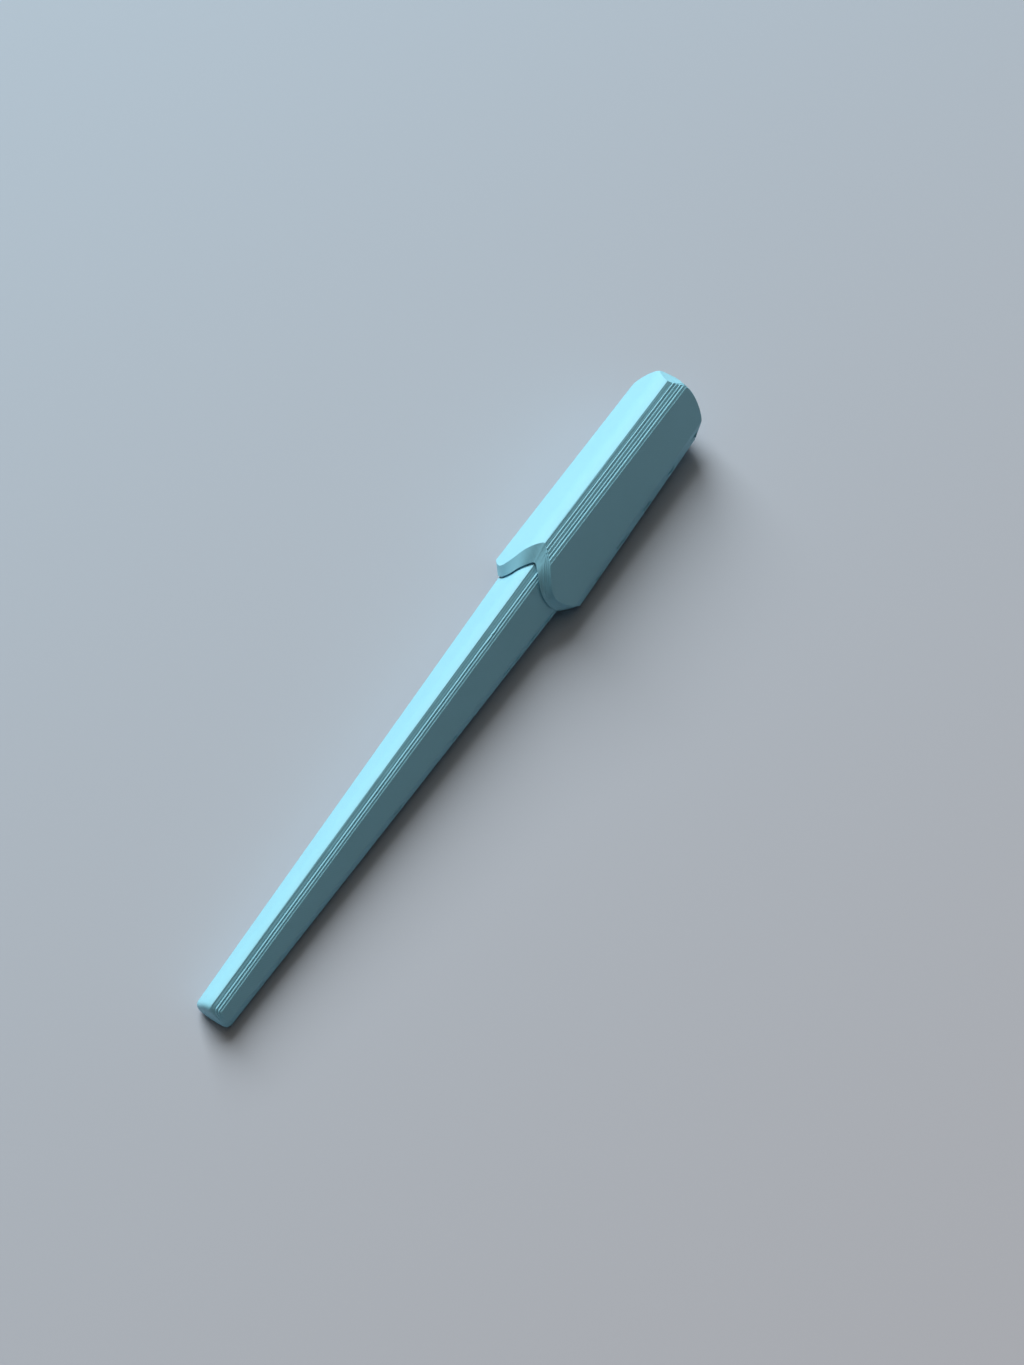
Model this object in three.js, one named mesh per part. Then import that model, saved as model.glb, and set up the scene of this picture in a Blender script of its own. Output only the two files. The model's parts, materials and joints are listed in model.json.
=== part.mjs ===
// A capped awl with a printed three-sided body. A long handle tapers towards its tail, and a slip-on
// cap with a lobed mouth covers the steel point, which sits in a tenon at the handle's front.
// Millimetres. While it is being built the tool lies along +X, with its axis through the origin, its
// tail at x = 0 and one corner, the ridge, pointing up +Z. At the end it is laid on the ground.

import * as THREE from 'three';

// Three sides, set by the distance from the axis to a flat and by the radius of the corners. A corner
// is rounded on that radius from both flats, and its middle, the crease, on a small share of it.
const SIDES = 3;
const RIDGE_HEADING = Math.PI / 2;
const CREASE_TURN = (37.5 * Math.PI) / 180;
const CREASE_SHARE = 0.1;

// Handle
const TAIL_FLAT = 2.88;
const FRONT_FLAT = 4.76;
const TAIL_CORNER = 3.5;
const FRONT_CORNER = 4.33;
const TAPER_LENGTH = 101;
const TAIL_EDGE = 1.0;
const TENON_LENGTH = 10;
const TENON_CHAMFER = 0.25;

// Steel point
const STEEL_RADIUS = 1.25;
const STEEL_OUT = 30;
const STEEL_SUNK = 25;
const STEEL_TAPER = 19;
const STEEL_TIP_RADIUS = 0.15;
const STEEL_REAR_CHAMFER = 0.3;
const DRILL_CONE = 0.7;

// Cap
const CAP_FRONT = 150;
const CAP_MOUTH_FLAT = 6.7;
const CAP_END_FLAT = 6.29;
const CAP_MOUTH_CORNER = 5.66;
const CAP_END_CORNER = 6.33;
const CAP_END_EDGE = 0.5;
const CAP_END_WALL = 3.0;
const DOME_RADIUS = 14;
const CHAMBER_FLAT = 3.9;
const CHAMBER_CORNER = 2.4;
const CHAMBER_EDGE = 0.6;

// Lobed mouth of the cap: how far the tip of each lobe reaches back over the handle, how deep the
// notch at each corner is, and how round the lobe is. The rim is the edge round the bore, and the
// brow is the line where the outer flats end.
const CAP_LAP = 3.7;
const RIM_NOTCH = 2.98;
const RIM_ROUNDNESS = 2.23;
const BROW_SETBACK = 1.1;
const BROW_NOTCH = 5.13;
const BROW_ROUNDNESS = 1.5;
const NOTCH_START = 0.9;
const BROW_SQUARENESS = 1.5;

// Clearances
const CAP_GAP = 0.3;
const STEEL_GAP = 0.3;

// Fineness of the skins
const CORNER_STEPS = 16;
const FLAT_STEPS = 9;
const EDGE_STEPS = 4;
const BROW_STEPS = 7;
const HANDLE_BAYS = 6;
const CAP_BAYS = 5;
const DOME_BAYS = 4;
const STEEL_STEPS = 24;

// How often the lie of the tool on the ground is worked out again
const LIE_PASSES = 6;

const PLASTIC_COLOUR = '#8fd3e0';
const STEEL_COLOUR = '#b9bdc1';

// Sizes that follow from those above
const SIDE_TURN = (2 * Math.PI) / SIDES;
const HALF_SIDE_TURN = SIDE_TURN / 2;
const CORNER_REACH = 1 / Math.cos(HALF_SIDE_TURN);
const CREASE_HALF = CREASE_TURN / 2;
const SOFT_TURN = HALF_SIDE_TURN - CREASE_HALF;
const TENON_END = TAPER_LENGTH + TENON_LENGTH;
const SEAT = TENON_END + CAP_GAP;
const SOCKET_FLAT = FRONT_FLAT + CAP_GAP;
const SOCKET_CORNER = FRONT_CORNER + CAP_GAP;
const CHAMBER_END = CAP_FRONT - CAP_END_WALL;
const LOBE_TIP = TAPER_LENGTH - CAP_LAP;
const BORE_RADIUS = STEEL_RADIUS + STEEL_GAP;

// The columns of a skin: round each corner by the turn of its normal, then across the flat after it
// by its share of the half width.
function makeColumns() {
  const columns = [];
  for (let side = 0; side < SIDES; side += 1) {
    const heading = RIDGE_HEADING + side * SIDE_TURN;
    for (let step = 0; step <= CORNER_STEPS; step += 1) {
      columns.push({ heading, turn: (step / CORNER_STEPS - 0.5) * SIDE_TURN });
    }
    for (let step = 1; step < FLAT_STEPS; step += 1) {
      columns.push({ heading: heading + HALF_SIDE_TURN, share: (2 * step) / FLAT_STEPS - 1 });
    }
  }
  return columns;
}

const COLUMNS = makeColumns();

// The centre of a corner's crease, its radius, and how much larger the radius of the rest is
function cornerShape(flat, corner) {
  const tight = corner * CREASE_SHARE;
  const soft = corner - tight;
  const centre = (flat - corner + soft * Math.cos(SOFT_TURN)) * CORNER_REACH;
  const halfFlat = centre * Math.sin(HALF_SIDE_TURN) - soft * Math.sin(SOFT_TURN);
  return { tight, soft, centre, halfFlat };
}

// Where a column meets a section with this flat distance and corner radius
function sectionPoint(column, x, flat, corner) {
  const { heading, turn, share } = column;
  const { soft, centre, halfFlat } = cornerShape(flat, corner);
  if (share === undefined) {
    const edge = heading + THREE.MathUtils.clamp(turn, -CREASE_HALF, CREASE_HALF);
    const normal = heading + turn;
    const y = centre * Math.cos(heading) + corner * Math.cos(normal) - soft * Math.cos(edge);
    const z = centre * Math.sin(heading) + corner * Math.sin(normal) - soft * Math.sin(edge);
    return new THREE.Vector3(x, y, z);
  }
  const slip = share * halfFlat;
  const y = flat * Math.cos(heading) - slip * Math.sin(heading);
  const z = flat * Math.sin(heading) + slip * Math.cos(heading);
  return new THREE.Vector3(x, y, z);
}

// How far a column lies from the middle of a flat, 0, to the middle of a corner, 1
function cornerward(column, flat, corner) {
  const { tight, soft, halfFlat } = cornerShape(flat, corner);
  const halfCorner = tight * HALF_SIDE_TURN + soft * SOFT_TURN;
  if (column.share === undefined) {
    const turn = Math.abs(column.turn);
    const left = tight * turn + soft * Math.max(turn - CREASE_HALF, 0);
    return 1 - left / (halfFlat + halfCorner);
  }
  return (Math.abs(column.share) * halfFlat) / (halfFlat + halfCorner);
}

function ring(x, flat, corner) {
  return COLUMNS.map((column) => sectionPoint(column, x, flat, corner));
}

// A round ring whose points lie on the same rays from the axis as a section's
function roundRing(x, radius) {
  return ring(x, FRONT_FLAT, FRONT_CORNER).map((point) => {
    const scale = radius / Math.hypot(point.y, point.z);
    return new THREE.Vector3(x, point.y * scale, point.z * scale);
  });
}

// Rings round an edge, from its face, where the section is inset by the radius, to its side
function edgeRings(faceX, inwards, flat, corner, radius) {
  const rings = [];
  for (let step = 0; step <= EDGE_STEPS; step += 1) {
    const turn = (step / EDGE_STEPS) * (Math.PI / 2);
    const inset = radius * (1 - Math.sin(turn));
    const x = faceX + inwards * radius * (1 - Math.cos(turn));
    rings.push(ring(x, flat - inset, corner - inset));
  }
  return rings;
}

// Joins rings of equal length into a closed skin, with a fan of triangles to the pole at each end
function skin(firstPole, rings, lastPole) {
  const count = COLUMNS.length;
  const points = [firstPole, ...rings.flat(), lastPole];
  const last = points.length - 1;
  const at = (row, column) => 1 + row * count + (column % count);
  const index = [];
  for (let column = 0; column < count; column += 1) {
    index.push(0, at(0, column + 1), at(0, column));
    for (let row = 0; row < rings.length - 1; row += 1) {
      index.push(at(row, column), at(row, column + 1), at(row + 1, column));
      index.push(at(row + 1, column), at(row, column + 1), at(row + 1, column + 1));
    }
    index.push(at(rings.length - 1, column), at(rings.length - 1, column + 1), last);
  }
  const geometry = new THREE.BufferGeometry().setFromPoints(points);
  geometry.setIndex(index);
  geometry.computeVertexNormals();
  return geometry;
}

const mix = THREE.MathUtils.lerp;
const onAxis = (x) => new THREE.Vector3(x, 0, 0);

// Handle: tail face, rounded tail edge, tapered body, parallel tenon, and a blind hole for the steel
function handleFlat(x) {
  return mix(TAIL_FLAT, FRONT_FLAT, Math.min(x / TAPER_LENGTH, 1));
}

function handleCorner(x) {
  return mix(TAIL_CORNER, FRONT_CORNER, Math.min(x / TAPER_LENGTH, 1));
}

function handleGeometry() {
  const rings = edgeRings(0, 1, TAIL_FLAT, TAIL_CORNER, TAIL_EDGE);
  rings[rings.length - 1] = ring(TAIL_EDGE, handleFlat(TAIL_EDGE), handleCorner(TAIL_EDGE));
  for (let bay = 1; bay <= HANDLE_BAYS; bay += 1) {
    const x = mix(TAIL_EDGE, TAPER_LENGTH, bay / HANDLE_BAYS);
    rings.push(ring(x, handleFlat(x), handleCorner(x)));
  }
  const holeEnd = TENON_END - STEEL_SUNK - STEEL_GAP;
  rings.push(
    ring(TENON_END - TENON_CHAMFER, FRONT_FLAT, FRONT_CORNER),
    ring(TENON_END, FRONT_FLAT - TENON_CHAMFER, FRONT_CORNER - TENON_CHAMFER),
    roundRing(TENON_END, BORE_RADIUS),
    roundRing(holeEnd, BORE_RADIUS),
  );
  return skin(onAxis(0), rings, onAxis(holeEnd - DRILL_CONE));
}

// Steel point: a round rod with a chamfered rear end and a long slender taper
function steelGeometry() {
  const rear = TENON_END - STEEL_SUNK;
  const front = TENON_END + STEEL_OUT;
  const profile = [
    new THREE.Vector2(0, rear),
    new THREE.Vector2(STEEL_RADIUS - STEEL_REAR_CHAMFER, rear),
    new THREE.Vector2(STEEL_RADIUS, rear + STEEL_REAR_CHAMFER),
    new THREE.Vector2(STEEL_RADIUS, front - STEEL_TAPER),
    new THREE.Vector2(STEEL_TIP_RADIUS, front - STEEL_TIP_RADIUS),
    new THREE.Vector2(0, front),
  ];
  return new THREE.LatheGeometry(profile, STEEL_STEPS).rotateZ(-Math.PI / 2);
}

// Outside of the cap
function capFlat(x) {
  return mix(CAP_MOUTH_FLAT, CAP_END_FLAT, (x - LOBE_TIP) / (CAP_FRONT - LOBE_TIP));
}

function capCorner(x) {
  return mix(CAP_MOUTH_CORNER, CAP_END_CORNER, (x - LOBE_TIP) / (CAP_FRONT - LOBE_TIP));
}

// The end of the cap is domed, and reaches CAP_FRONT at the middle of each flat
function domeX(distance) {
  const rise = (d) => Math.sqrt(DOME_RADIUS ** 2 - d ** 2);
  return CAP_FRONT + rise(distance) - rise(CAP_END_FLAT);
}

// Lobes: a power of the way to the corner, turned level in a parabola in the notch, as 0 to 1
function notchShare(way, roundness) {
  const start = NOTCH_START ** roundness;
  const slope = roundness * NOTCH_START ** (roundness - 1);
  const left = 1 - NOTCH_START;
  const full = start + (slope * left) / 2;
  if (way <= NOTCH_START) {
    return way ** roundness / full;
  }
  const past = way - NOTCH_START;
  return (start + slope * (past - past ** 2 / (2 * left))) / full;
}

function rimX(column) {
  const way = cornerward(column, SOCKET_FLAT, SOCKET_CORNER);
  return LOBE_TIP + RIM_NOTCH * notchShare(way, RIM_ROUNDNESS);
}

function browX(column) {
  const way = cornerward(column, CAP_MOUTH_FLAT, CAP_MOUTH_CORNER);
  return LOBE_TIP + BROW_SETBACK + BROW_NOTCH * notchShare(way, BROW_ROUNDNESS);
}

// A ring of the rounded edge of the mouth, from the brow, 0, to the rim, 1
function mouthRing(part) {
  const turn = (part * Math.PI) / 2;
  const power = 2 / BROW_SQUARENESS;
  const back = Math.sin(turn) ** power;
  const inset = 1 - Math.cos(turn) ** power;
  return COLUMNS.map((column) => {
    const x = mix(browX(column), rimX(column), back);
    const flat = mix(capFlat(x), SOCKET_FLAT, inset);
    const corner = mix(capCorner(x), SOCKET_CORNER, inset);
    return sectionPoint(column, x, flat, corner);
  });
}

// The point of a column on the domed end, drawn in by an inset and lowered by a drop
function endPoint(column, inset, drop) {
  const flat = CAP_END_FLAT - inset;
  const corner = CAP_END_CORNER - inset;
  const flatPoint = sectionPoint(column, 0, flat, corner);
  const x = domeX(Math.hypot(flatPoint.y, flatPoint.z)) - drop;
  return sectionPoint(column, x, capFlat(x) - inset, capCorner(x) - inset);
}

function capGeometry() {
  const rings = edgeRings(CHAMBER_END, -1, CHAMBER_FLAT, CHAMBER_CORNER, CHAMBER_EDGE);
  rings.push(ring(SEAT, CHAMBER_FLAT, CHAMBER_CORNER));
  rings.push(ring(SEAT, SOCKET_FLAT, SOCKET_CORNER));
  for (let step = BROW_STEPS; step >= 0; step -= 1) {
    rings.push(mouthRing(step / BROW_STEPS));
  }
  const sideEnd = COLUMNS.map((column) => endPoint(column, 0, CAP_END_EDGE));
  for (let bay = 1; bay < CAP_BAYS; bay += 1) {
    rings.push(COLUMNS.map((column, place) => {
      const x = mix(browX(column), sideEnd[place].x, bay / CAP_BAYS);
      return sectionPoint(column, x, capFlat(x), capCorner(x));
    }));
  }
  for (let step = 0; step <= EDGE_STEPS; step += 1) {
    const turn = (step / EDGE_STEPS) * (Math.PI / 2);
    const inset = CAP_END_EDGE * (1 - Math.cos(turn));
    const drop = CAP_END_EDGE * (1 - Math.sin(turn));
    rings.push(COLUMNS.map((column) => endPoint(column, inset, drop)));
  }
  const domeEdge = rings[rings.length - 1];
  for (let bay = 1; bay < DOME_BAYS; bay += 1) {
    const scale = 1 - bay / DOME_BAYS;
    rings.push(domeEdge.map((edge) => {
      const y = edge.y * scale;
      const z = edge.z * scale;
      return new THREE.Vector3(domeX(Math.hypot(y, z)), y, z);
    }));
  }
  return skin(onAxis(CHAMBER_END), rings, onAxis(domeX(0)));
}

function makePiece(name, geometry, color, roughness, metalness) {
  const material = new THREE.MeshStandardMaterial({ color, roughness, metalness });
  const mesh = new THREE.Mesh(geometry, material);
  mesh.name = name;
  return mesh;
}

const handle = makePiece('handle', handleGeometry(), PLASTIC_COLOUR, 0.55, 0);
const steelPoint = makePiece('steel_point', steelGeometry(), STEEL_COLOUR, 0.3, 1);
const cap = makePiece('cap', capGeometry(), PLASTIC_COLOUR, 0.55, 0);

// The lowest point of a piece when the whole tool is tilted up towards the cap by an angle
function lowestPoint(piece, tilt) {
  const position = piece.geometry.getAttribute('position');
  const lowest = { x: 0, z: 0, height: Infinity };
  for (let place = 0; place < position.count; place += 1) {
    const x = position.getX(place);
    const z = position.getZ(place);
    const height = x * Math.sin(tilt) + z * Math.cos(tilt);
    if (height < lowest.height) {
      Object.assign(lowest, { x, z, height });
    }
  }
  return lowest;
}

// The tool lies on the lower edge of its tail and on the lower lobe of the cap
function findTilt() {
  let tilt = 0;
  for (let pass = 0; pass < LIE_PASSES; pass += 1) {
    const tail = lowestPoint(handle, tilt);
    const lobe = lowestPoint(cap, tilt);
    tilt = Math.atan2(tail.z - lobe.z, lobe.x - tail.x);
  }
  return tilt;
}

const tool = new THREE.Group();
tool.add(handle, steelPoint, cap);
tool.rotation.y = -findTilt();

// Origin: on the ground, below the middle of the whole tool
const bounds = new THREE.Box3().setFromObject(tool, true);
tool.position.x = -(bounds.min.x + bounds.max.x) / 2;
tool.position.z = -bounds.min.z;

const awl = new THREE.Group();
awl.name = 'awl';
awl.add(tool);

export default awl;
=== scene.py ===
"""Looks of a capped awl: a printed handle and cap and a ground steel point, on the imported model.

Metres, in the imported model's frame: +X runs from the tail to the closed end of the cap, +Y is the
side that faces the window, +Z is up, and the tool lies on the table at z = 0.
"""

import json
import logging
import math
from dataclasses import dataclass
from enum import Enum
from typing import Any, Iterable

import bpy
import numpy as np
from mathutils import Matrix, Vector, noise


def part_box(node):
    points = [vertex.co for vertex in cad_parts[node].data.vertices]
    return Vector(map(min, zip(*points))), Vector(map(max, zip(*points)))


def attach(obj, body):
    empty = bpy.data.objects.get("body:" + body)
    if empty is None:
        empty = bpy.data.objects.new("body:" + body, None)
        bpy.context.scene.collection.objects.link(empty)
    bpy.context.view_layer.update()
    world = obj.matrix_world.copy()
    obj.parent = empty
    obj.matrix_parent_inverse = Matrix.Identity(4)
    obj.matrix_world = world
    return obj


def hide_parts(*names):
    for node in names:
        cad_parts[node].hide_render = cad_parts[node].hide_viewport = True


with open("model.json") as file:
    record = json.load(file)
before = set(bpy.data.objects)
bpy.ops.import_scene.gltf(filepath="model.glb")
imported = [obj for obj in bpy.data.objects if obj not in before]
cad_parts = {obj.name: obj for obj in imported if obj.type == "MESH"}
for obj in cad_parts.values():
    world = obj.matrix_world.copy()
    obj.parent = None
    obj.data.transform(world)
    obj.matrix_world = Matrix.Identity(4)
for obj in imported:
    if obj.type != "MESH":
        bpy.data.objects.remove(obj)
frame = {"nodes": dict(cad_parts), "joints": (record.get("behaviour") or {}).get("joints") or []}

LOG = logging.getLogger("capped_awl")
MM = 0.001
MERGE_DISTANCE = 1e-7  # metres; the solids' loose triangles share their corners to this
CUT_TOLERANCE = 1e-8  # metres, for each cut with a plane
RING_TOLERANCE = 1e-6  # metres; points this near to a station lie on it
JUST_PAST = 1.001  # a limit times this takes in the points that lie on it


class Flat(Enum):
    """The three long flats, by the heading of their outward normal in degrees, 90 being straight up."""

    WINDOW = 30.0
    BED = 150.0
    UNDER = 270.0


def linear(colour: str) -> tuple[float, float, float, float]:
    """Turns an sRGB hex colour into the linear colour that a shader takes.

    Args:
        colour: The colour as "#rrggbb".

    Returns:
        Red, green, blue and an alpha of 1.
    """
    channels = [int(colour[place : place + 2], 16) / 255 for place in (1, 3, 5)]
    red, green, blue = (c / 12.92 if c <= 0.04045 else ((c + 0.055) / 1.055) ** 2.4 for c in channels)
    return red, green, blue, 1.0


def add_node(
    tree: bpy.types.NodeTree,
    kind: str,
    settings: dict[str, Any] | None = None,
    inputs: dict[str | int, Any] | None = None,
) -> bpy.types.Node:
    """Adds one node to a tree, with its settings and links.

    Args:
        tree: The node tree of a material or of the world.
        kind: The node's type name.
        settings: Properties of the node by name.
        inputs: Values of its inputs by name or place; an output of another node is linked.

    Returns:
        The new node.
    """
    node = tree.nodes.new(kind)
    for name, value in (settings or {}).items():
        setattr(node, name, value)
    for name, value in (inputs or {}).items():
        if isinstance(value, bpy.types.NodeSocket):
            tree.links.new(value, node.inputs[name])
        else:
            node.inputs[name].default_value = value
    return node


def new_material(name: str) -> tuple[bpy.types.Material, bpy.types.Node]:
    """Makes a node material with one principled shader.

    Args:
        name: The material's name.

    Returns:
        The material and its principled shader.
    """
    material = bpy.data.materials.new(name)
    material.use_nodes = True
    return material, material.node_tree.nodes["Principled BSDF"]


def measure_along(
    tree: bpy.types.NodeTree, vector: bpy.types.NodeSocket, course: Vector
) -> bpy.types.NodeSocket:
    """Measures a vector along a course.

    Args:
        tree: The material's nodes.
        vector: The socket that gives the vector.
        course: A direction of length 1.

    Returns:
        The socket with the distance.
    """
    inputs = {0: vector, 1: tuple(course)}
    return add_node(tree, "ShaderNodeVectorMath", {"operation": "DOT_PRODUCT"}, inputs).outputs["Value"]


def select_only(piece: bpy.types.Object) -> None:
    """Selects one object and nothing else, and makes it the active one.

    Args:
        piece: The object to select.
    """
    bpy.ops.object.select_all(action="DESELECT")
    piece.select_set(True)
    bpy.context.view_layer.objects.active = piece


def edit_points(piece: bpy.types.Object, chosen: np.ndarray) -> None:
    """Goes into edit mode with some points selected, and the edges and faces between them.

    Args:
        piece: A mesh object.
        chosen: True for each vertex to select.
    """
    select_only(piece)
    bpy.ops.object.mode_set(mode="EDIT")
    bpy.ops.mesh.select_all(action="DESELECT")
    bpy.ops.object.mode_set(mode="OBJECT")
    piece.data.vertices.foreach_set("select", chosen)
    bpy.ops.object.mode_set(mode="EDIT")


def mesh_points(piece: bpy.types.Object) -> np.ndarray:
    """Reads the points of a piece's mesh.

    Args:
        piece: A mesh object.

    Returns:
        One row of x, y and z for each vertex.
    """
    points = np.empty(len(piece.data.vertices) * 3)
    piece.data.vertices.foreach_get("co", points)
    return points.reshape(-1, 3)


@dataclass(frozen=True)
class ToolLine:
    """The tool's own axes as it lies: along it from the tail, to the window side, and out of its ridge."""

    tail: Vector
    along: Vector
    side: Vector
    up: Vector

    @classmethod
    def from_model(cls) -> "ToolLine":
        """Finds the axes from the slide joint, the steel's tip and the handle's tail.

        Returns:
            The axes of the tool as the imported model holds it.
        """
        along = Vector(frame["joints"][0]["axis"]).normalized()
        side = Vector((0.0, 1.0, 0.0))
        steel = mesh_points(frame["nodes"]["steel_point"])
        tip = Vector(steel[np.argmax(steel @ along)])
        tail_reach = float(np.min(mesh_points(frame["nodes"]["handle"]) @ along))
        return cls(tip + along * (tail_reach - tip.dot(along)), along, side, along.cross(side))

    def place(self, x: float, y: float = 0.0, z: float = 0.0) -> Vector:
        """Gives the point at x along the tool, y to its side and z up from its axis."""
        return self.tail + self.along * x + self.side * y + self.up * z

    def outward(self, flat: Flat) -> Vector:
        """Gives the outward direction of a flat, square to the tool's axis."""
        heading = math.radians(flat.value)
        return self.side * math.cos(heading) + self.up * math.sin(heading)

    def reaches(self, piece: bpy.types.Object) -> np.ndarray:
        """Gives how far along the tool each point of a piece lies, from the tail."""
        return mesh_points(piece) @ self.along - self.tail.dot(self.along)


@dataclass(frozen=True)
class PrintSettings:
    """How the plastic pieces were printed: each lying on its bed flat, in fine layers.

    The corners next to the bed flat came out as straight slopes up to a crease, so the layers show
    there as low steps of even width. The crease and the overlap are shares of the corner's radius.
    """

    layer: float = 0.20 * MM
    wall: float = 0.08 * MM
    station: float = 2.5 * MM
    steep_from: float = 48.0
    steep_to: float = 66.0
    waviness: float = 0.02 * MM
    wave_length: float = 9.0 * MM
    wave_spread: float = 3.1
    wave_start: float = 7.7
    droop: float = 0.012 * MM
    droop_stretch: float = 1.7
    crease_width: float = 0.679
    crease_depth: float = 0.2725
    flat_overlap: float = 0.15
    bed_facing: float = 3.0
    strand_slant: float = 45.0
    smooth_angle: float = 24.0

    def width_at(self, depth: float, radius: float) -> float:
        """Finds how far from its flat's edge the solid's round corner lies at a depth.

        Args:
            depth: The depth below the flat.
            radius: The radius of the corner.

        Returns:
            The distance from the edge, along the flat.
        """
        return math.sqrt(max(depth * (2 * radius - depth), 0.0))

    def depth_at(self, width: float, radius: float) -> float:
        """Finds how deep the solid's round corner lies at a distance from the edge of its flat."""
        return radius - math.sqrt(radius * radius - width * width)

    def slope_depth(self, depth: float, radius: float) -> float:
        """Moves a depth on the solid's round corner to the straight slope of the print.

        Args:
            depth: The depth below the flat.
            radius: The radius of the corner.

        Returns:
            The depth on the slope; from the crease on, the same depth.
        """
        if depth >= self.crease_depth * radius:
            return depth
        start = self.flat_overlap * radius
        share = (self.width_at(depth, radius) - start) / (self.crease_width * radius - start)
        return max(share, 0.0) * self.crease_depth * radius


@dataclass(frozen=True)
class PrintedPlastic:
    """Satin polylactide, extruded in layers: pale aqua, soft highlights, and fine lines round the piece.

    The lines follow the layers, so they run along the sides and vanish on the flat that lay on the bed,
    where the strands of the first layer show as faint slanted lines instead.
    """

    name: str
    bed_normal: Vector
    strand_course: Vector
    layer: float
    colour: str = "#94D2E4"
    pale_patch: str = "#99D6E8"
    roughness: float = 0.5
    ior: float = 1.46
    gloss: float = 0.4
    line_depth: float = 0.010 * MM
    strand: float = 0.42 * MM
    strand_depth: float = 0.004 * MM
    patch_size: float = 9.0 * MM
    on_bed_from: float = 0.990
    on_bed_to: float = 0.999

    def material(self) -> bpy.types.Material:
        """Builds the material.

        Returns:
            The material, with its lines measured from the flat that lay on the bed.
        """
        material, shader = new_material(self.name)
        tree = material.node_tree
        place = add_node(tree, "ShaderNodeTexCoord").outputs["Object"]
        normal = add_node(tree, "ShaderNodeNewGeometry").outputs["Normal"]

        # A faint, slow drift in tone over the piece
        drift = add_node(tree, "ShaderNodeTexNoise", inputs={"Vector": place, "Scale": 1 / self.patch_size})
        tone = add_node(
            tree,
            "ShaderNodeMix",
            {"data_type": "RGBA"},
            {0: drift.outputs["Fac"], 6: linear(self.colour), 7: linear(self.pale_patch)},
        )
        tree.links.new(tone.outputs[2], shader.inputs["Base Color"])
        shader.inputs["Roughness"].default_value = self.roughness
        shader.inputs["IOR"].default_value = self.ior
        shader.inputs["Specular IOR Level"].default_value = self.gloss

        # Layer lines: ridges at the real layer height, measured from the bed
        lines = self.ridges(tree, place, self.bed_normal, self.layer)
        # Strands of the first layer, only where the surface faces the bed
        strands = self.ridges(tree, place, self.strand_course, self.strand)
        facing = measure_along(tree, normal, self.bed_normal)
        on_bed = add_node(
            tree,
            "ShaderNodeMapRange",
            {"interpolation_type": "SMOOTHSTEP"},
            {"Value": facing, "From Min": self.on_bed_from, "From Max": self.on_bed_to},
        ).outputs["Result"]
        bed_height = add_node(tree, "ShaderNodeMath", {"operation": "MULTIPLY"}, {0: strands, 1: on_bed})
        line_bump = add_node(
            tree,
            "ShaderNodeBump",
            inputs={"Strength": 1.0, "Distance": self.line_depth, "Height": lines},
        )
        strand_bump = add_node(
            tree,
            "ShaderNodeBump",
            inputs={
                "Strength": 1.0,
                "Distance": self.strand_depth,
                "Height": bed_height.outputs["Value"],
                "Normal": line_bump.outputs["Normal"],
            },
        )
        tree.links.new(strand_bump.outputs["Normal"], shader.inputs["Normal"])
        return material

    @staticmethod
    def ridges(
        tree: bpy.types.NodeTree, place: bpy.types.NodeSocket, course: Vector, pitch: float
    ) -> bpy.types.NodeSocket:
        """Makes rounded ridges that follow each other along a course.

        Args:
            tree: The material's nodes.
            place: The socket with the point's place.
            course: The direction across the ridges.
            pitch: The distance from ridge to ridge.

        Returns:
            The socket with a height from -1 to 1.
        """
        way = measure_along(tree, place, course)
        turn = add_node(tree, "ShaderNodeMath", {"operation": "MULTIPLY"}, {0: way, 1: math.tau / pitch})
        return add_node(
            tree, "ShaderNodeMath", {"operation": "SINE"}, {0: turn.outputs["Value"]}
        ).outputs["Value"]


@dataclass(frozen=True)
class GroundSteel:
    """Hardened carbon steel, ground to a taper and polished: bright, with faint rings from the wheel."""

    along: Vector
    name: str = "hardened_steel_ground_and_polished"
    colour: str = "#B9BDC1"
    roughness: float = 0.24
    ring: float = 0.12 * MM
    ring_depth: float = 0.0015 * MM
    breaks: float = 0.8 * MM
    ring_shift: float = 6.0

    def material(self) -> bpy.types.Material:
        """Builds the material. Real rings are finer, and these are drawn coarse enough to show.

        Returns:
            The material, with its rings square to the rod.
        """
        material, shader = new_material(self.name)
        tree = material.node_tree
        shader.inputs["Base Color"].default_value = linear(self.colour)
        shader.inputs["Metallic"].default_value = 1.0
        shader.inputs["Roughness"].default_value = self.roughness
        place = add_node(tree, "ShaderNodeTexCoord").outputs["Object"]
        way = measure_along(tree, place, self.along)
        unrest = add_node(tree, "ShaderNodeTexNoise", inputs={"Vector": place, "Scale": 1 / self.breaks})
        stretch = add_node(
            tree, "ShaderNodeMath", {"operation": "MULTIPLY"}, {0: way, 1: math.tau / self.ring}
        )
        shifted = add_node(
            tree,
            "ShaderNodeMath",
            {"operation": "MULTIPLY_ADD"},
            {0: unrest.outputs["Fac"], 1: self.ring_shift, 2: stretch.outputs["Value"]},
        )
        rings = add_node(tree, "ShaderNodeMath", {"operation": "SINE"}, {0: shifted.outputs["Value"]})
        bump = add_node(
            tree,
            "ShaderNodeBump",
            inputs={"Strength": 1.0, "Distance": self.ring_depth, "Height": rings.outputs["Value"]},
        )
        tree.links.new(bump.outputs["Normal"], shader.inputs["Normal"])
        return material


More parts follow.
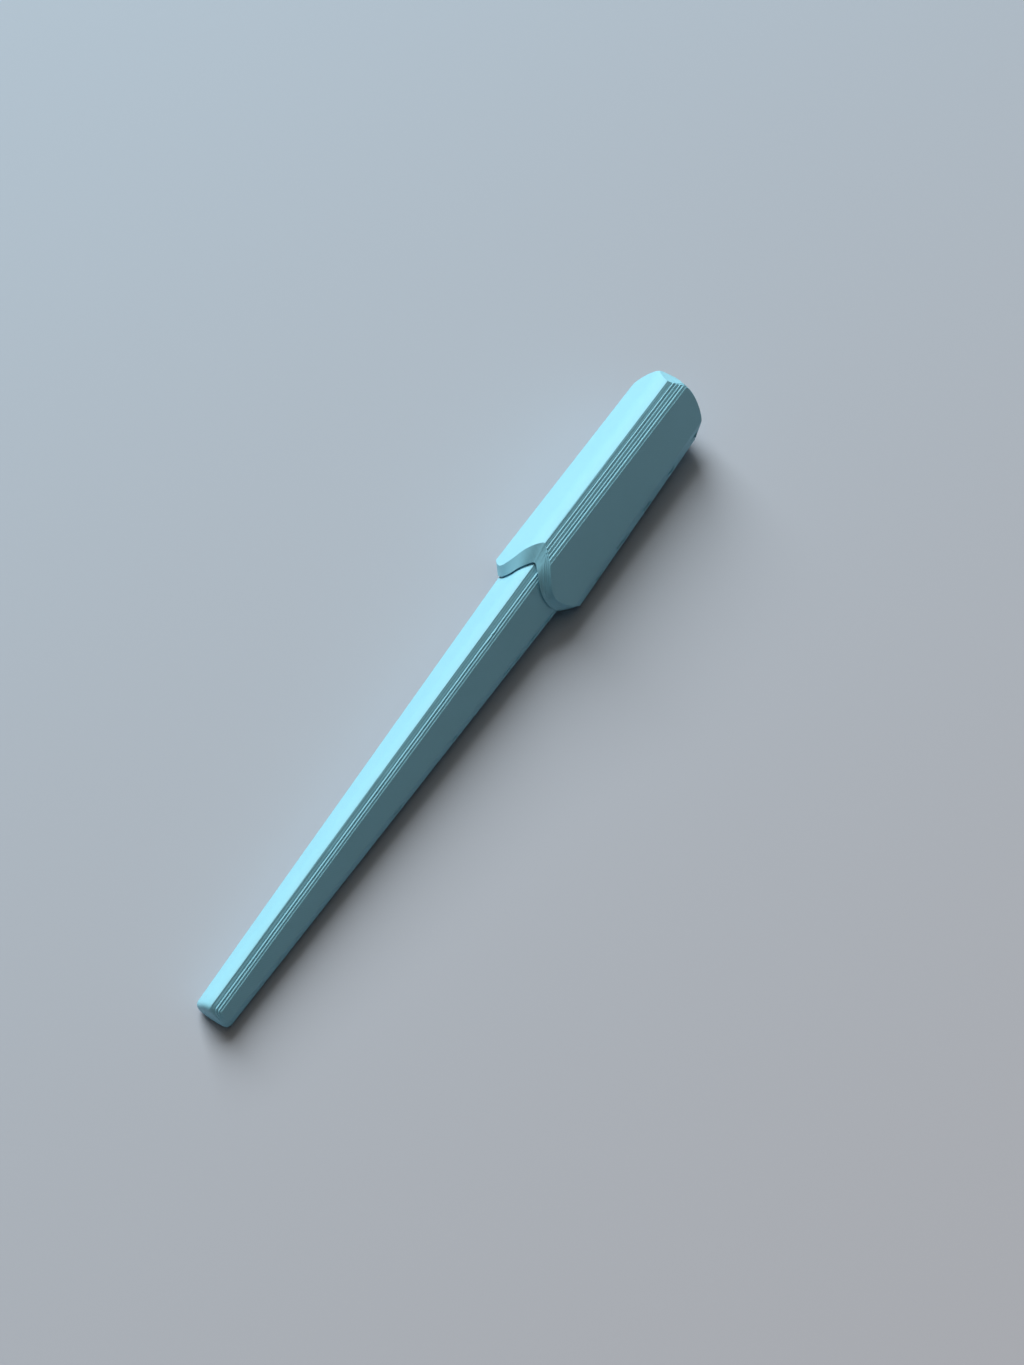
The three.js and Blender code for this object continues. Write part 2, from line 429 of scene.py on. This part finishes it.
@dataclass(frozen=True)
class PaleTable:
    """Smooth painted table top in pale grey. Towards the window its grey turns cooler: a painted tint that
    stands for the window's bluish daylight.
    """

    name: str = "painted_board_pale_grey"
    painted_daylight_grey: str = "#B1BBC8"
    far_side: str = "#B7B1B6"
    roughness: float = 0.75
    gloss: float = 0.25
    blend_from: float = -0.25
    blend_to: float = 0.25
    to_window: tuple[float, float, float] = (0.35, 0.94, 0.0)

    def material(self) -> bpy.types.Material:
        """Builds the material.

        Returns:
            The material, which blends the table's grey into the painted window-light tint across the table.
        """
        material, shader = new_material(self.name)
        tree = material.node_tree
        place = add_node(tree, "ShaderNodeTexCoord").outputs["Object"]
        # Painted light: the colour turns cooler towards the window, standing for the window's bluish daylight
        across = measure_along(tree, place, Vector(self.to_window))
        share = add_node(
            tree,
            "ShaderNodeMapRange",
            {"interpolation_type": "SMOOTHSTEP"},
            {"Value": across, "From Min": self.blend_from, "From Max": self.blend_to},
        )
        tone = add_node(
            tree,
            "ShaderNodeMix",
            {"data_type": "RGBA"},
            {0: share.outputs["Result"], 6: linear(self.far_side), 7: linear(self.painted_daylight_grey)},
        )
        tree.links.new(tone.outputs[2], shader.inputs["Base Color"])
        shader.inputs["Roughness"].default_value = self.roughness
        shader.inputs["Specular IOR Level"].default_value = self.gloss
        return material


@dataclass
class PrintedPiece:
    """A printed piece: its solid's form, with the print's slopes and steps along its corners.

    A layer's wall is where the stairs drop to the next layer. A relief of 1 gives it its full height,
    and one of 0 leaves the plain slope.
    """

    line: ToolLine
    printing: PrintSettings
    node: str
    corner_ends: tuple[float, float]
    first_wall: float
    tread: float
    reliefs: tuple[float, ...]

    def build(self) -> bpy.types.Object:
        """Builds the piece and puts it on the model.

        Returns:
            The finished piece.
        """
        piece = self.copy_of_solid()
        self.shape(piece)
        bed_point, bed_normal = self.bed_plane(piece)
        self.cut_stations(piece)
        self.cut_layers(piece, bed_point, bed_normal)
        self.step(piece, bed_point, bed_normal)
        self.smooth(piece)
        self.dress(piece, bed_normal)
        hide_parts(self.node)
        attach(piece, self.node)
        LOG.info("%s: %d faces", piece.name, len(piece.data.polygons))
        return piece

    def copy_of_solid(self) -> bpy.types.Object:
        """Copies the solid's mesh into a new object and joins its loose triangles.

        Returns:
            The joined copy.
        """
        mesh = frame["nodes"][self.node].data.copy()
        mesh.materials.clear()
        piece = bpy.data.objects.new(f"printed_{self.node}", mesh)
        bpy.context.scene.collection.objects.link(piece)
        select_only(piece)
        bpy.ops.mesh.customdata_custom_splitnormals_clear()
        bpy.ops.object.mode_set(mode="EDIT")
        bpy.ops.mesh.select_all(action="SELECT")
        bpy.ops.mesh.remove_doubles(threshold=MERGE_DISTANCE)
        bpy.ops.object.mode_set(mode="OBJECT")
        return piece

    def shape(self, piece: bpy.types.Object) -> None:
        """Refines the form before the layers are cut. The two printed pieces differ here."""

    def bed_plane(self, piece: bpy.types.Object) -> tuple[Vector, Vector]:
        """Finds the flat that lay on the print bed.

        Args:
            piece: The joined copy of the solid.

        Returns:
            A point on the flat and its outward normal.
        """
        facing = self.line.outward(Flat.BED)
        limit = math.cos(math.radians(self.printing.bed_facing))
        near = [face for face in piece.data.polygons if face.normal.dot(facing) > limit]
        largest = max(near, key=lambda face: face.area)
        return largest.center.copy(), largest.normal.copy()

    def cut(self, planes: Iterable[tuple[Vector, Vector]], piece: bpy.types.Object) -> None:
        """Cuts edges into a piece where planes cross it.

        Args:
            planes: A point and a normal of each plane.
            piece: The piece to cut.
        """
        select_only(piece)
        bpy.ops.object.mode_set(mode="EDIT")
        for point, normal in planes:
            bpy.ops.mesh.select_all(action="SELECT")
            bpy.ops.mesh.bisect(plane_co=point, plane_no=normal, threshold=CUT_TOLERANCE)
        bpy.ops.object.mode_set(mode="OBJECT")

    def cut_stations(self, piece: bpy.types.Object) -> None:
        """Cuts the piece across at regular stations, so that its long lines can waver.

        Args:
            piece: The piece to cut.
        """
        reaches = self.line.reaches(piece)
        count = int((reaches.max() - reaches.min()) / self.printing.station)
        stations = np.linspace(reaches.min(), reaches.max(), count + 2)[1:-1]
        self.cut(((self.line.place(float(x)), self.line.along) for x in stations), piece)

    def cut_layers(self, piece: bpy.types.Object, bed_point: Vector, bed_normal: Vector) -> None:
        """Cuts both edges of each layer's wall into the piece.

        Args:
            piece: The piece to cut.
            bed_point: A point on the flat that lay on the bed.
            bed_normal: The outward normal of that flat.
        """
        half = self.printing.wall / 2
        planes = []
        for width in self.wall_widths():
            for edge in (width - half, width + half):
                depth = self.printing.depth_at(edge, self.mean_radius)
                planes.append((bed_point - bed_normal * depth, bed_normal))
        self.cut(planes, piece)

    @property
    def mean_radius(self) -> float:
        """The corner's radius half way along the piece."""
        return sum(self.corner_ends) / 2

    def wall_widths(self) -> list[float]:
        """Says how far each layer's wall stands from the edge of the bed flat."""
        return [self.first_wall + count * self.tread for count in range(len(self.reliefs))]

    def stairs(self) -> tuple[list[float], list[float]]:
        """Works out the stairs of a mean corner: the lips of each wall, and how deep they lie.

        Returns:
            The distances of the lips from the edge of the bed flat, and the depths there.
        """
        widths = [self.printing.flat_overlap * self.mean_radius]
        depths = [0.0]
        tread_before = 0.0
        for width, relief in zip(self.wall_widths(), self.reliefs):
            tread_after = self.slope_at(width + self.tread / 2)
            for side, level in ((-0.5, tread_before), (0.5, tread_after)):
                lip = width + side * self.printing.wall
                slope = self.slope_at(lip)
                widths.append(lip)
                depths.append(slope + (level - slope) * relief)
            tread_before = tread_after
        return widths, depths

    def slope_at(self, width: float) -> float:
        """Says how deep the slope of a mean corner lies at a distance from the edge of the bed flat."""
        depth = self.printing.depth_at(width, self.mean_radius)
        return self.printing.slope_depth(depth, self.mean_radius)

    def step(self, piece: bpy.types.Object, bed_point: Vector, bed_normal: Vector) -> None:
        """Moves the round corners next to the bed flat to the print's slopes, and steps them in layers.

        Args:
            piece: The piece, already cut.
            bed_point: A point on the flat that lay on the bed.
            bed_normal: The outward normal of that flat.
        """
        lowest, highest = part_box(self.node)
        across = self.line.along.cross(bed_normal).normalized()
        stairs = self.stairs()
        walls = self.wall_widths()
        reaches = self.line.reaches(piece)
        radii = np.interp(reaches, (reaches.min(), reaches.max()), self.corner_ends)
        for vertex, reach, radius in zip(piece.data.vertices, reaches, radii):
            depth = (bed_point - vertex.co).dot(bed_normal)
            spoke = vertex.co - self.line.place(reach)
            if vertex.normal.dot(spoke) <= 0 or depth >= self.printing.crease_depth * radius:
                continue
            on_upper_corner = spoke.dot(across) * self.line.up.dot(across) >= 0
            share = self.step_share(vertex.normal, bed_normal) if on_upper_corner else 0.0
            width = self.printing.width_at(depth, self.mean_radius)
            sway, sag = self.waver(reach, width, walls)
            fade = min(width / self.first_wall, 1.0) * share
            drift = bed_normal * self.rise(depth, radius, share, stairs)
            drift += across * (sway * fade)
            drift -= bed_normal * (sag * fade)
            moved = vertex.co + drift
            vertex.co = Vector(
                min(max(value, low), high) for value, low, high in zip(moved, lowest, highest)
            )

    def step_share(self, normal: Vector, bed_normal: Vector) -> float:
        """Says how much of the stairs a point takes, which fades out where the surface is steep.

        Args:
            normal: The surface's normal at the point.
            bed_normal: The outward normal of the flat that lay on the bed.

        Returns:
            A share from 0 to 1.
        """
        steepness = math.degrees(normal.angle(bed_normal))
        share = (self.printing.steep_to - steepness) / (self.printing.steep_to - self.printing.steep_from)
        return min(max(share, 0.0), 1.0)

    def rise(
        self, depth: float, radius: float, share: float, stairs: tuple[list[float], list[float]]
    ) -> float:
        """Says how far a point on the solid's round corner moves out, to lie on the print's surface.

        Args:
            depth: The depth of the point below the bed flat.
            radius: The corner's radius there.
            share: How much of the stairs the point takes; the rest is the plain slope.
            stairs: The distances and depths of the lips of the walls.

        Returns:
            The distance along the bed flat's outward normal.
        """
        crease = self.printing.crease_depth * radius
        widths = stairs[0] + [self.printing.width_at(crease, self.mean_radius)]
        width = self.printing.width_at(depth, self.mean_radius)
        sloped = self.printing.slope_depth(depth, radius)
        stepped = np.interp(width, widths, stairs[1] + [crease])
        return depth - sloped - (stepped - sloped) * share

    def waver(self, reach: float, width: float, walls: list[float]) -> tuple[float, float]:
        """Says how a layer's line wanders at a point; points by the same wall move together.

        Args:
            reach: How far along the tool the point lies.
            width: Its distance from the edge of the bed flat.
            walls: The distances of the walls.

        Returns:
            The sway along the flat, and the sag of the layer.
        """
        nearest = min(range(len(walls)), key=lambda wall: abs(walls[wall] - width))
        place = Vector(
            (reach / self.printing.wave_length, self.printing.wave_spread * nearest, self.printing.wave_start)
        )
        sway = self.printing.waviness * noise.noise(place)
        return sway, self.printing.droop * noise.noise(place * self.printing.droop_stretch)

    def smooth(self, piece: bpy.types.Object) -> None:
        """Shades the piece smooth, with creases kept at its steps and rims."""
        select_only(piece)
        bpy.ops.object.shade_smooth_by_angle(angle=math.radians(self.printing.smooth_angle))

    def dress(self, piece: bpy.types.Object, bed_normal: Vector) -> None:
        """Gives the piece its plastic.

        Args:
            piece: The piece to dress.
            bed_normal: The outward normal of the flat that lay on the bed.
        """
        slant = math.radians(self.printing.strand_slant)
        slanted = Matrix.Rotation(slant, 3, bed_normal) @ self.line.along
        name = f"polylactide_printed_{self.node}"
        finish = PrintedPlastic(name, bed_normal, slanted, self.printing.layer)
        piece.data.materials.append(finish.material())


@dataclass
class Handle(PrintedPiece):
    """The long tapered handle, with its blunt tail and the tenon that carries the cap."""

    node: str = "handle"
    corner_ends: tuple[float, float] = (3.50 * MM, 4.33 * MM)
    first_wall: float = 0.70 * MM
    tread: float = 0.46 * MM
    reliefs: tuple[float, ...] = (0.6, 0.9, 0.8)
    tail_edge: float = 1.0 * MM
    tail_inset: float = 1.0 * MM

    def shape(self, piece: bpy.types.Object) -> None:
        """Draws the tail's rounded edge in by a millimetre, to where the photograph shows it to end.

        Args:
            piece: The joined copy of the solid.
        """
        edit_points(piece, self.line.reaches(piece) < self.tail_edge * JUST_PAST)
        bpy.ops.transform.translate(value=self.line.along * self.tail_inset)
        bpy.ops.object.mode_set(mode="OBJECT")


@dataclass
class Cap(PrintedPiece):
    """The cap: three flats that end in lobes over the handle, and a low dome at the closed end."""

    node: str = "cap"
    corner_ends: tuple[float, float] = (5.66 * MM, 6.33 * MM)
    first_wall: float = 0.98 * MM
    tread: float = 0.56 * MM
    reliefs: tuple[float, ...] = (0.5, 0.8, 0.5, 0.5, 0.5)
    end_ring: int = 8
    brow_ring: int = 13
    rim_ring: int = 20
    ridge_inset: float = 0.9 * MM
    ridge_lean: float = 50.0

    def shape(self, piece: bpy.types.Object) -> None:
        """Gives the mouth its straight chamfer, and each ridge its facet at the closed end.

        Args:
            piece: The joined copy of the solid.
        """
        rings = self.rings(piece)
        ends = mesh_points(piece)[rings == self.end_ring]
        self.lay_mouth_chamfer(piece, rings)
        self.cut_ridge_ends(piece, ends)

    def cut_ridge_ends(self, piece: bpy.types.Object, ends: np.ndarray) -> None:
        """Cuts a leaning facet where each ridge runs into the dome.

        Args:
            piece: The joined copy of the solid.
            ends: The points of the ring where the closed end's rounded edge begins.
        """
        lean = math.radians(self.ridge_lean)
        select_only(piece)
        bpy.ops.object.mode_set(mode="EDIT")
        for flat in Flat:
            outward = -self.line.outward(flat)
            ridge = Vector(ends[np.argmax(ends @ outward)])
            bpy.ops.mesh.select_all(action="SELECT")
            bpy.ops.mesh.bisect(
                plane_co=ridge - self.line.along * self.ridge_inset,
                plane_no=self.line.along * math.cos(lean) + outward * math.sin(lean),
                use_fill=True,
                clear_outer=True,
                threshold=CUT_TOLERANCE,
            )
        bpy.ops.object.mode_set(mode="OBJECT")

    def lay_mouth_chamfer(self, piece: bpy.types.Object, rings: np.ndarray) -> None:
        """Lays the mouth's edge anew as a straight chamfer, with a crisp brow and rim.

        Args:
            piece: The joined copy of the solid.
            rings: The number of each vertex's ring, counted from the dome.
        """
        band = (rings > self.brow_ring) & (rings < self.rim_ring)
        edit_points(piece, band)
        bpy.ops.mesh.delete(type="VERT")
        bpy.ops.mesh.select_non_manifold()
        bpy.ops.mesh.bridge_edge_loops()
        bpy.ops.mesh.select_all(action="SELECT")
        bpy.ops.mesh.normals_make_consistent(inside=False)
        bpy.ops.object.mode_set(mode="OBJECT")

    def rings(self, piece: bpy.types.Object) -> np.ndarray:
        """Counts the rings of points from the middle of the dome.

        Args:
            piece: The joined copy of the solid.

        Returns:
            The number of each vertex's ring.
        """
        edges = np.empty(len(piece.data.edges) * 2, dtype=np.int64)
        piece.data.edges.foreach_get("vertices", edges)
        starts, ends = edges.reshape(-1, 2).T
        rings = np.full(len(piece.data.vertices), -1)
        rings[np.argmax(mesh_points(piece) @ self.line.along)] = 0
        count = 0
        while (rings < 0).any():
            for near, far in ((starts, ends), (ends, starts)):
                reached = far[(rings[near] == count) & (rings[far] < 0)]
                rings[reached] = count + 1
            count += 1
        return rings


@dataclass
class SteelPoint:
    """The steel: a round rod with a chamfered rear end and a long slender taper to a small round tip."""

    line: ToolLine
    rear: float = 86.0 * MM
    front: float = 141.0 * MM
    radius: float = 1.25 * MM
    taper: float = 19.0 * MM
    tip_radius: float = 0.15 * MM
    chamfer: float = 0.3 * MM
    tip_end_share: float = 0.25
    smooth_angle: float = 30.0
    sides: int = 64

    def build(self) -> bpy.types.Object:
        """Builds the piece and puts it on the model.

        Returns:
            The finished piece.
        """
        piece = self.rod()
        self.draw_out_taper(piece)
        self.break_rear_edge(piece)
        select_only(piece)
        bpy.ops.object.mode_set(mode="EDIT")
        bpy.ops.mesh.select_all(action="SELECT")
        bpy.ops.mesh.normals_make_consistent(inside=False)
        bpy.ops.object.mode_set(mode="OBJECT")
        bpy.ops.object.shade_smooth_by_angle(angle=math.radians(self.smooth_angle))
        piece.data.materials.append(GroundSteel(self.line.along).material())
        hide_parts("steel_point")
        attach(piece, "handle")
        LOG.info("%s: %d faces", piece.name, len(piece.data.polygons))
        return piece

    def rod(self) -> bpy.types.Object:
        """Makes the plain rod, with its place in its mesh.

        Returns:
            The rod.
        """
        middle = self.line.place((self.rear + self.front) / 2)
        turn = self.line.along.to_track_quat("Z", "Y").to_euler()
        bpy.ops.object.select_all(action="DESELECT")
        bpy.ops.mesh.primitive_cylinder_add(
            vertices=self.sides,
            radius=self.radius,
            depth=self.front - self.rear,
            end_fill_type="TRIFAN",
            location=middle,
            rotation=turn,
        )
        piece = bpy.context.view_layer.objects.active
        piece.name = piece.data.name = "awl_steel"
        bpy.ops.object.transform_apply(location=True, rotation=True, scale=True)
        return piece

    def cut_and_narrow(self, piece: bpy.types.Object, x: float, ends: list[tuple[float, float]]) -> None:
        """Cuts a ring into the rod, then narrows what lies beyond it.

        Args:
            piece: The steel.
            x: Where the ring is cut, along the tool.
            ends: Where further points lie along the tool, and the share of the radius they keep.
        """
        select_only(piece)
        bpy.ops.object.mode_set(mode="EDIT")
        bpy.ops.mesh.select_all(action="SELECT")
        bpy.ops.mesh.bisect(
            plane_co=self.line.place(x), plane_no=self.line.along, threshold=CUT_TOLERANCE
        )
        bpy.ops.object.mode_set(mode="OBJECT")
        for reach, share in ends:
            edit_points(piece, np.abs(self.line.reaches(piece) - reach) < RING_TOLERANCE)
            bpy.ops.transform.resize(value=(share, share, share), center_override=self.line.place(reach))
            bpy.ops.object.mode_set(mode="OBJECT")

    def draw_out_taper(self, piece: bpy.types.Object) -> None:
        """Narrows the front of the rod to a small round tip, through one ring just behind it.

        Args:
            piece: The steel.
        """
        shoulder = self.front - self.tip_radius
        self.cut_and_narrow(piece, self.front - self.taper, [])
        narrow = self.tip_radius / self.radius
        ends = [(shoulder, narrow), (self.front, narrow * self.tip_end_share)]
        self.cut_and_narrow(piece, shoulder, ends)

    def break_rear_edge(self, piece: bpy.types.Object) -> None:
        """Chamfers the rear edge, which is deep in the handle."""
        keep = (self.radius - self.chamfer) / self.radius
        self.cut_and_narrow(piece, self.rear + self.chamfer, [(self.rear, keep)])


@dataclass(frozen=True)
class LightPanel:
    """A flat panel of soft light that faces the tool."""

    name: str
    azimuth: float
    elevation: float
    distance: float
    width: float
    height: float
    power: float
    colour: tuple[float, float, float]

    def hang(self) -> None:
        """Puts the panel up."""
        data = bpy.data.lights.new(self.name, "AREA")
        data.shape = "RECTANGLE"
        data.size = self.width
        data.size_y = self.height
        data.energy = self.power
        data.color = self.colour
        lamp = bpy.data.objects.new(self.name, data)
        bpy.context.scene.collection.objects.link(lamp)
        turn, rise = math.radians(self.azimuth), math.radians(self.elevation)
        course = Vector(
            (math.cos(turn) * math.cos(rise), math.sin(turn) * math.cos(rise), math.sin(rise))
        )
        lamp.location = course * self.distance
        lamp.rotation_euler = course.to_track_quat("Z", "Y").to_euler()


@dataclass(frozen=True)
class Studio:
    """The table, daylight from a window and a ceiling, a faint room light, and the camera above the tail."""

    window: LightPanel = LightPanel(
        name="window",
        azimuth=60.0,
        elevation=41.0,
        distance=3.5,
        width=2.2,
        height=2.7,
        power=180.0,
        colour=(0.87, 0.965, 0.985),
    )
    ceiling: LightPanel = LightPanel(
        name="ceiling",
        azimuth=60.0,
        elevation=80.0,
        distance=2.4,
        width=2.4,
        height=2.4,
        power=9.0,
        colour=(1.0, 0.96, 0.82),
    )
    table_size: float = 4.0
    room_colour: str = "#FFF6EC"
    room_strength: float = 0.02
    backdrop_colour: str = "#C6D1D9"
    camera_place: tuple[float, float, float] = (-0.14660, -0.08321, 0.33619)
    camera_turn: tuple[float, float, float] = (26.962, -3.443, -56.941)
    lens: float = 54.07

    def build(self) -> None:
        """Sets the whole studio up."""
        self.lay_table()
        self.window.hang()
        self.ceiling.hang()
        self.fill_room()
        self.place_camera()
        bpy.context.scene.view_settings.view_transform = "Standard"

    def lay_table(self) -> None:
        """Lays the table top at z = 0."""
        bpy.ops.object.select_all(action="DESELECT")
        bpy.ops.mesh.primitive_plane_add(size=self.table_size, location=(0.0, 0.0, 0.0))
        table = bpy.context.view_layer.objects.active
        table.name = "table_top"
        table.data.materials.append(PaleTable().material())

    def fill_room(self) -> None:
        """Gives the room its faint light. The camera and mirrors see a pale wall in its place."""
        world = bpy.data.worlds.new("room")
        bpy.context.scene.world = world
        world.use_nodes = True
        tree = world.node_tree
        tree.nodes.clear()
        rays = add_node(tree, "ShaderNodeLightPath")
        seen = add_node(
            tree,
            "ShaderNodeMath",
            {"operation": "MAXIMUM"},
            {0: rays.outputs["Is Camera Ray"], 1: rays.outputs["Is Glossy Ray"]},
        )
        either = add_node(
            tree,
            "ShaderNodeMath",
            {"operation": "MAXIMUM"},
            {0: seen.outputs["Value"], 1: rays.outputs["Is Transmission Ray"]},
        )
        room = add_node(
            tree,
            "ShaderNodeBackground",
            inputs={"Color": linear(self.room_colour), "Strength": self.room_strength},
        )
        wall = add_node(
            tree,
            "ShaderNodeBackground",
            inputs={"Color": linear(self.backdrop_colour), "Strength": 1.0},
        )
        mix = add_node(
            tree,
            "ShaderNodeMixShader",
            inputs={
                0: either.outputs["Value"],
                1: room.outputs["Background"],
                2: wall.outputs["Background"],
            },
        )
        add_node(tree, "ShaderNodeOutputWorld", inputs={"Surface": mix.outputs["Shader"]})

    def place_camera(self) -> None:
        """Puts the camera where the photograph was taken from."""
        data = bpy.data.cameras.new("camera")
        data.lens = self.lens
        data.clip_start = 0.01
        camera = bpy.data.objects.new("camera", data)
        camera.location = self.camera_place
        camera.rotation_euler = tuple(math.radians(angle) for angle in self.camera_turn)
        bpy.context.scene.collection.objects.link(camera)
        bpy.context.scene.camera = camera


@dataclass
class CappedAwl:
    """The whole tool: the handle with its steel, and the cap that slips over both."""

    line: ToolLine
    printing: PrintSettings

    def build(self) -> None:
        """Builds the three pieces in order."""
        Handle(self.line, self.printing).build()
        SteelPoint(self.line).build()
        Cap(self.line, self.printing).build()


def main() -> None:
    """Builds the tool and its studio."""
    logging.basicConfig(level=logging.INFO, format="%(name)s: %(message)s")
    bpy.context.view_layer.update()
    CappedAwl(ToolLine.from_model(), PrintSettings()).build()
    Studio().build()


if __name__ == "__main__":
    main()
